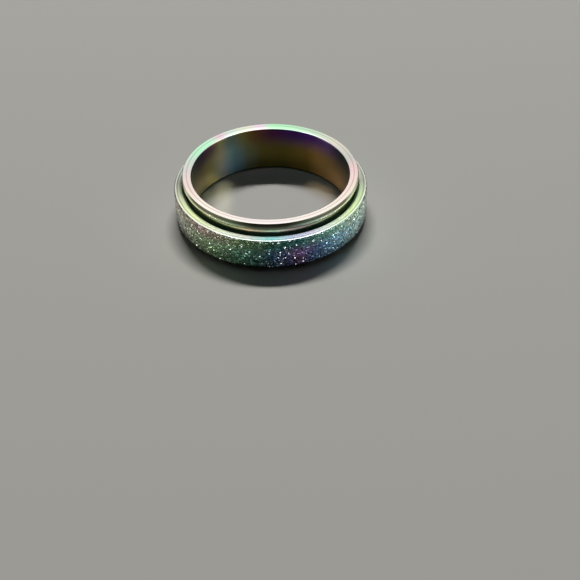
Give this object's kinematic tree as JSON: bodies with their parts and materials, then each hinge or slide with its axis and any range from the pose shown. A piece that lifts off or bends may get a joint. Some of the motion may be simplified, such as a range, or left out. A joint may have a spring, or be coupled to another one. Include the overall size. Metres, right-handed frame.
{
  "type": "spinner ring",
  "caption": "Spinner ring: a plain inner band with a rim at each end, and a grained outer band that turns freely on its neck.",
  "frame": {"origin": "middle of the ring's lower face, which lies on the surface", "axes": "+Z along the ring's axis, up from the surface that it lies on; the ring is round, so X and Y are alike"},
  "size_m": [0.0228, 0.0228, 0.006],
  "materials": {
    "polished_steel": "mirror-polished stainless steel with a thin oil-slick colour coating: pink, mint green and yellow on the rims, olive brown to violet inside",
    "grained_steel": "sparkling sand-blasted stainless steel under the same coating: grey-green, teal, blue and violet, with polished ends"
  },
  "bodies": {
    "inner_ring": {"inner_band": "polished_steel"},
    "spinner": {"outer_band": "grained_steel"}
  },
  "joints": [
    {"name": "spin", "type": "hinge", "parent": "inner_ring", "child": "spinner", "pos_m": [0, 0, 0.003], "axis": [0, 0, 1], "continuous": true}
  ]
}
